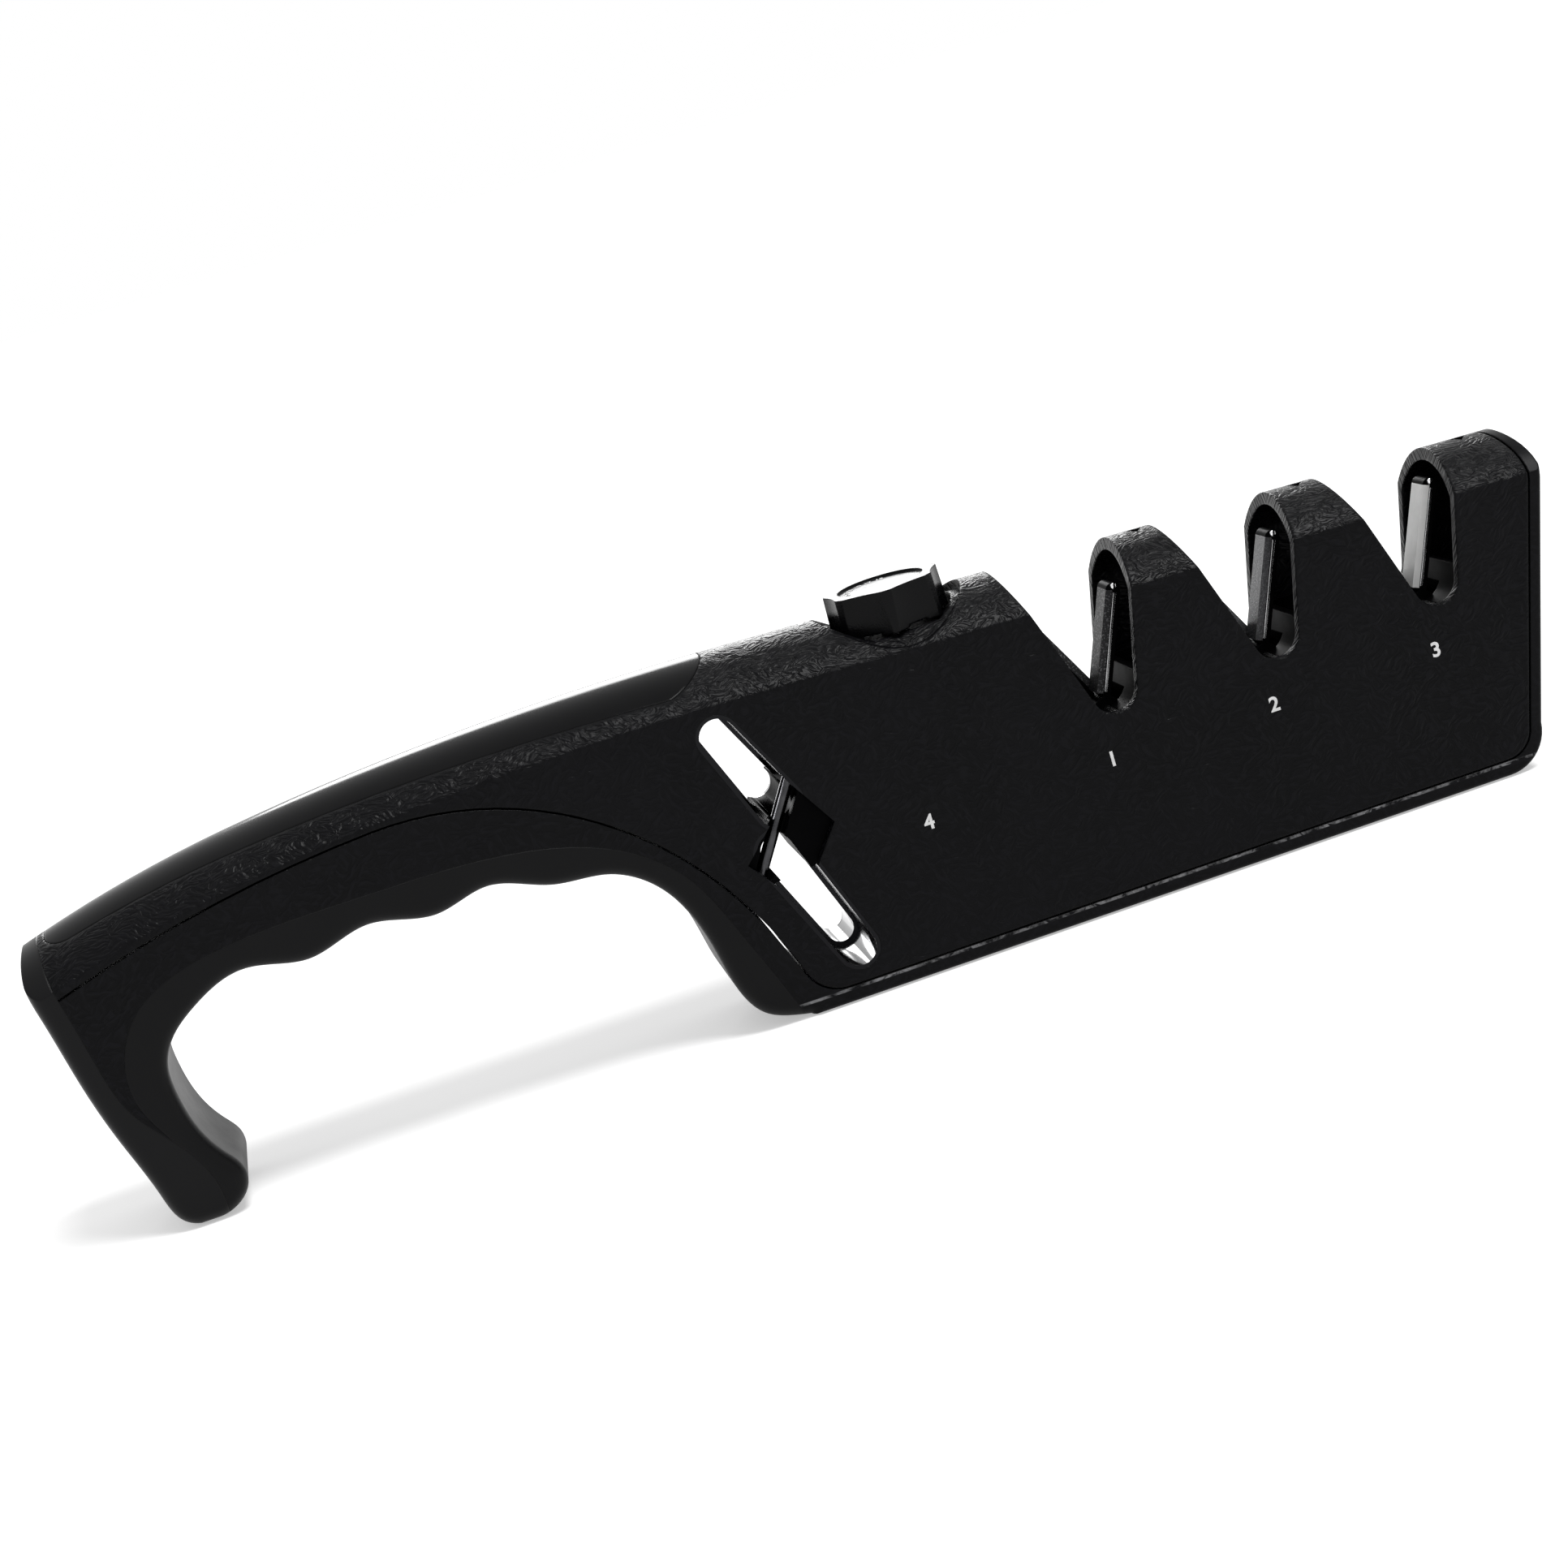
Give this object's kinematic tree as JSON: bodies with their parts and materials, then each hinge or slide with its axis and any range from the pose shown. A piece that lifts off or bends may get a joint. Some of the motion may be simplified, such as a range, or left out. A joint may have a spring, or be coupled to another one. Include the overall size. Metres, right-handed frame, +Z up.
{
  "type": "pull through knife sharpener",
  "caption": "Pull through knife sharpener with a C-shaped grip, sharpening notches with swinging bars, an angle knob and a scissor slot.",
  "frame": {"origin": "middle of the footprint, on the underside of the rubber pads", "axes": "+X along the length from the handle to the notches, -Y the front with the scissor window, +Z up"},
  "size_m": [0.3, 0.03, 0.0726],
  "materials": {
    "cover": "black plastic with a fine leather grain",
    "frame": "smooth satin black plastic",
    "soft_grip": "smooth soft-touch black",
    "end_cap": "smooth satin black plastic",
    "gloss_strip": "polished black",
    "pads": "dark grey non-slip rubber",
    "liner": "bright plated",
    "insert": "matte black",
    "ceramic": "white fine ceramic",
    "screws": "zinc plated steel",
    "carrier": "black moulded plastic",
    "pins": "ground steel",
    "slider": "pressed steel",
    "cam": "white bearing plastic",
    "bushing": "white bearing plastic",
    "knob": "satin black plastic",
    "arm": "dark glass-filled plastic",
    "coarse_bar": "dark grey diamond grit on steel",
    "fine_bar": "mid grey fine diamond grit on steel"
  },
  "bodies": {
    "housing": {"upper_cover": "cover", "lower_frame": "frame", "soft_grip": "soft_grip", "end_cap": "end_cap", "handle_top_strip": "gloss_strip", "base_pads": "pads", "scissor_liner_upper": "liner", "scissor_liner_lower": "liner", "scissor_insert": "insert", "scissor_rod": "ceramic", "housing_screws": "screws", "bar_carrier": "carrier", "pivot_pins": "pins", "knob_bushing": "bushing", "detent_ball": "pins", "detent_spring": "pins"},
    "knob": {"angle_knob": "knob", "knob_shaft": "pins", "shaft_clip": "pins", "cam_disc": "cam", "cam_screw": "screws"},
    "front_slide_body": {"front_slider": "slider"},
    "back_slide_body": {"back_slider": "slider"},
    "right_arm_body_1": {"right_arm_1": "arm", "right_bar_1": "coarse_bar"},
    "right_arm_body_2": {"right_arm_2": "arm", "right_bar_2": "fine_bar"},
    "right_arm_body_3": {"right_arm_3": "arm", "right_bar_3": "ceramic"},
    "left_arm_body_1": {"left_arm_1": "arm", "left_bar_1": "coarse_bar"},
    "left_arm_body_2": {"left_arm_2": "arm", "left_bar_2": "fine_bar"},
    "left_arm_body_3": {"left_arm_3": "arm", "left_bar_3": "ceramic"}
  },
  "joints": [
    {"name": "knob_turn", "type": "hinge", "parent": "housing", "child": "knob", "pos_m": [0.02365, 0, 0.0644], "axis": [0, 0, 1], "range_deg": [0, 100.5]},
    {"name": "front_slide", "type": "slide", "parent": "housing", "child": "front_slide_body", "axis": [1, 0, 0], "range_m": [0, 0.00261]},
    {"name": "back_slide", "type": "slide", "parent": "housing", "child": "back_slide_body", "axis": [-1, 0, 0], "range_m": [0, 0.00263]},
    {"name": "right_arm_1_swing", "type": "hinge", "parent": "housing", "child": "right_arm_body_1", "pos_m": [0.0587, 0, 0.0355], "axis": [0, -1, 0], "range_deg": [0, 10.1]},
    {"name": "right_arm_2_swing", "type": "hinge", "parent": "housing", "child": "right_arm_body_2", "pos_m": [0.0917, 0, 0.0355], "axis": [0, -1, 0], "range_deg": [0, 10.1]},
    {"name": "right_arm_3_swing", "type": "hinge", "parent": "housing", "child": "right_arm_body_3", "pos_m": [0.1247, 0, 0.0355], "axis": [0, -1, 0], "range_deg": [0, 10.1]},
    {"name": "left_arm_1_swing", "type": "hinge", "parent": "housing", "child": "left_arm_body_1", "pos_m": [0.0587, 0, 0.0355], "axis": [0, 1, 0], "range_deg": [0, 10.1]},
    {"name": "left_arm_2_swing", "type": "hinge", "parent": "housing", "child": "left_arm_body_2", "pos_m": [0.0917, 0, 0.0355], "axis": [0, 1, 0], "range_deg": [0, 10.1]},
    {"name": "left_arm_3_swing", "type": "hinge", "parent": "housing", "child": "left_arm_body_3", "pos_m": [0.1247, 0, 0.0355], "axis": [0, 1, 0], "range_deg": [0, 10.1]}
  ],
  "couplings": [
    {"joint": "knob_turn", "follows": "front_slide", "rad_per_m": 667.51},
    {"joint": "back_slide", "follows": "front_slide", "ratio": 1},
    {"joint": "right_arm_1_swing", "follows": "front_slide", "rad_per_m": 66.751},
    {"joint": "right_arm_2_swing", "follows": "front_slide", "rad_per_m": 66.751},
    {"joint": "right_arm_3_swing", "follows": "front_slide", "rad_per_m": 66.751},
    {"joint": "left_arm_1_swing", "follows": "front_slide", "rad_per_m": 66.751},
    {"joint": "left_arm_2_swing", "follows": "front_slide", "rad_per_m": 66.751},
    {"joint": "left_arm_3_swing", "follows": "front_slide", "rad_per_m": 66.751}
  ]
}
